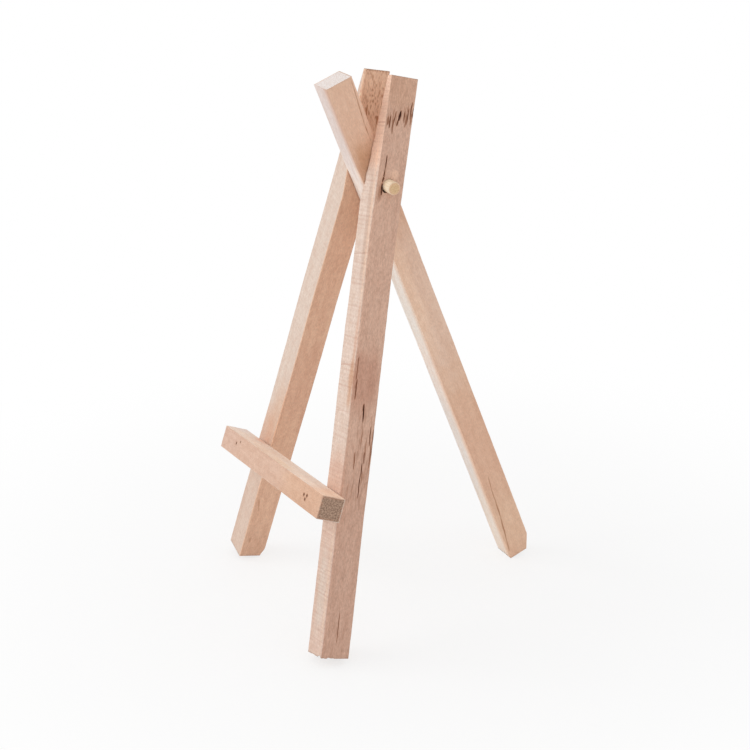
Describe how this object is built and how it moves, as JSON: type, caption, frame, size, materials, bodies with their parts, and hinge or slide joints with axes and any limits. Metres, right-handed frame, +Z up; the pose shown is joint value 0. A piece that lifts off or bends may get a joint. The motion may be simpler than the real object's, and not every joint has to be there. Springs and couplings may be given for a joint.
{
  "type": "tabletop easel",
  "caption": "Small wooden artist easel: splayed front legs and a hinged rear leg on a through dowel, with a picture ledge nailed across the front.",
  "frame": {"origin": "centre of the footprint of the standing easel's bounding box, on the surface that its feet stand on", "axes": "+X to the right of someone facing the easel's front, +Y away from them towards the rear leg, +Z up"},
  "size_m": [0.0818, 0.088, 0.154],
  "materials": {
    "leg_wood": "matte",
    "dowel_wood": "matte",
    "ledge_wood": "matte",
    "brad_steel": "matte"
  },
  "bodies": {
    "front_frame": {"right_front_leg": "leg_wood", "left_front_leg": "leg_wood", "pivot_dowel": "dowel_wood", "ledge": "ledge_wood", "right_brads": "brad_steel", "left_brads": "brad_steel"},
    "rear_leg_body": {"rear_leg": "leg_wood"}
  },
  "joints": [
    {"name": "rear_leg_hinge", "type": "hinge", "parent": "front_frame", "child": "rear_leg_body", "pos_m": [0.00133, -0.00938, 0.125], "axis": [1, 0, 0], "range_deg": [-34.6, 314.6]}
  ]
}
